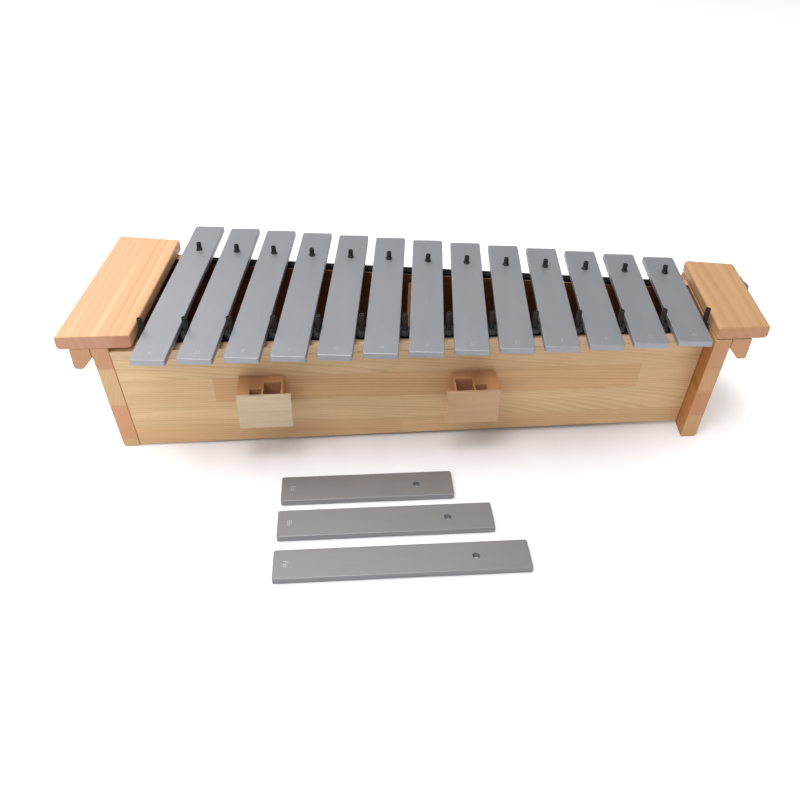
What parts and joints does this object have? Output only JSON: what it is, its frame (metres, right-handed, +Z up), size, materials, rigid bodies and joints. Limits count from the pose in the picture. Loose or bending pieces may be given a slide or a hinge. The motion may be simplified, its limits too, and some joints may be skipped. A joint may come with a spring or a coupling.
{
  "type": "alto metallophone",
  "caption": "Tuned percussion instrument: a row of loose aluminium bars on pins over a tapered wooden resonator box with end caps, carrying grips and mallet holders.",
  "frame": {"origin": "middle of the bounding box, at floor level", "axes": "+X towards the high bars (the player's right), +Y away from the player, +Z up"},
  "size_m": [0.8638, 0.5176, 0.1854],
  "materials": {
    "wood": "clear satin lacquer on pine",
    "cap_wood": "clear satin lacquer on pine",
    "bar_metal": "fine brushed, satin",
    "felt": "black felt",
    "rubber": "black rubber sleeve over a steel nail"
  },
  "bodies": {
    "resonator_box": {"front_panel": "wood", "front_rail": "wood", "rear_panel": "wood", "bottom_board": "wood", "center_partition": "wood", "low_end_board": "wood", "low_grip": "wood", "high_end_board": "wood", "high_grip": "wood", "low_holder_block": "wood", "low_holder_plate": "wood", "high_holder_block": "wood", "high_holder_plate": "wood", "low_cap": "cap_wood", "high_cap": "cap_wood", "front_felt": "felt", "rear_felt": "felt", "front_pin_01": "rubber", "front_pin_02": "rubber", "front_pin_03": "rubber", "front_pin_04": "rubber", "front_pin_05": "rubber", "front_pin_06": "rubber", "front_pin_07": "rubber", "front_pin_08": "rubber", "front_pin_09": "rubber", "front_pin_10": "rubber", "front_pin_11": "rubber", "front_pin_12": "rubber", "front_pin_13": "rubber", "front_pin_14": "rubber", "rear_pin_01": "rubber", "rear_pin_02": "rubber", "rear_pin_03": "rubber", "rear_pin_04": "rubber", "rear_pin_05": "rubber", "rear_pin_06": "rubber", "rear_pin_07": "rubber", "rear_pin_08": "rubber", "rear_pin_09": "rubber", "rear_pin_10": "rubber", "rear_pin_11": "rubber", "rear_pin_12": "rubber", "rear_pin_13": "rubber"},
    "bar_c4_body": {"bar_c4": "bar_metal"},
    "bar_d4_body": {"bar_d4": "bar_metal"},
    "bar_e4_body": {"bar_e4": "bar_metal"},
    "bar_f4_body": {"bar_f4": "bar_metal"},
    "bar_g4_body": {"bar_g4": "bar_metal"},
    "bar_a4_body": {"bar_a4": "bar_metal"},
    "bar_b4_body": {"bar_b4": "bar_metal"},
    "bar_c5_body": {"bar_c5": "bar_metal"},
    "bar_d5_body": {"bar_d5": "bar_metal"},
    "bar_e5_body": {"bar_e5": "bar_metal"},
    "bar_f5_body": {"bar_f5": "bar_metal"},
    "bar_g5_body": {"bar_g5": "bar_metal"},
    "bar_a5_body": {"bar_a5": "bar_metal"},
    "spare_bar_f_sharp_5_body": {"spare_bar_f_sharp_5": "bar_metal"},
    "spare_bar_b_flat_4_body": {"spare_bar_b_flat_4": "bar_metal"},
    "spare_bar_f_sharp_4_body": {"spare_bar_f_sharp_4": "bar_metal"}
  },
  "joints": [
    {"name": "lift_bar_c4", "type": "slide", "parent": "resonator_box", "child": "bar_c4_body", "axis": [0, 0, 1], "range_m": [0, 0.03]},
    {"name": "lift_bar_d4", "type": "slide", "parent": "resonator_box", "child": "bar_d4_body", "axis": [0, 0, 1], "range_m": [0, 0.03]},
    {"name": "lift_bar_e4", "type": "slide", "parent": "resonator_box", "child": "bar_e4_body", "axis": [0, 0, 1], "range_m": [0, 0.03]},
    {"name": "lift_bar_f4", "type": "slide", "parent": "resonator_box", "child": "bar_f4_body", "axis": [0, 0, 1], "range_m": [0, 0.03]},
    {"name": "lift_bar_g4", "type": "slide", "parent": "resonator_box", "child": "bar_g4_body", "axis": [0, 0, 1], "range_m": [0, 0.03]},
    {"name": "lift_bar_a4", "type": "slide", "parent": "resonator_box", "child": "bar_a4_body", "axis": [0, 0, 1], "range_m": [0, 0.03]},
    {"name": "lift_bar_b4", "type": "slide", "parent": "resonator_box", "child": "bar_b4_body", "axis": [0, 0, 1], "range_m": [0, 0.03]},
    {"name": "lift_bar_c5", "type": "slide", "parent": "resonator_box", "child": "bar_c5_body", "axis": [0, 0, 1], "range_m": [0, 0.03]},
    {"name": "lift_bar_d5", "type": "slide", "parent": "resonator_box", "child": "bar_d5_body", "axis": [0, 0, 1], "range_m": [0, 0.03]},
    {"name": "lift_bar_e5", "type": "slide", "parent": "resonator_box", "child": "bar_e5_body", "axis": [0, 0, 1], "range_m": [0, 0.03]},
    {"name": "lift_bar_f5", "type": "slide", "parent": "resonator_box", "child": "bar_f5_body", "axis": [0, 0, 1], "range_m": [0, 0.03]},
    {"name": "lift_bar_g5", "type": "slide", "parent": "resonator_box", "child": "bar_g5_body", "axis": [0, 0, 1], "range_m": [0, 0.03]},
    {"name": "lift_bar_a5", "type": "slide", "parent": "resonator_box", "child": "bar_a5_body", "axis": [0, 0, 1], "range_m": [0, 0.03]},
    {"name": "lift_spare_bar_f_sharp_5", "type": "slide", "parent": "resonator_box", "child": "spare_bar_f_sharp_5_body", "axis": [0, 0, 1], "range_m": [0, 0.03]},
    {"name": "lift_spare_bar_b_flat_4", "type": "slide", "parent": "resonator_box", "child": "spare_bar_b_flat_4_body", "axis": [0, 0, 1], "range_m": [0, 0.03]},
    {"name": "lift_spare_bar_f_sharp_4", "type": "slide", "parent": "resonator_box", "child": "spare_bar_f_sharp_4_body", "axis": [0, 0, 1], "range_m": [0, 0.03]}
  ]
}
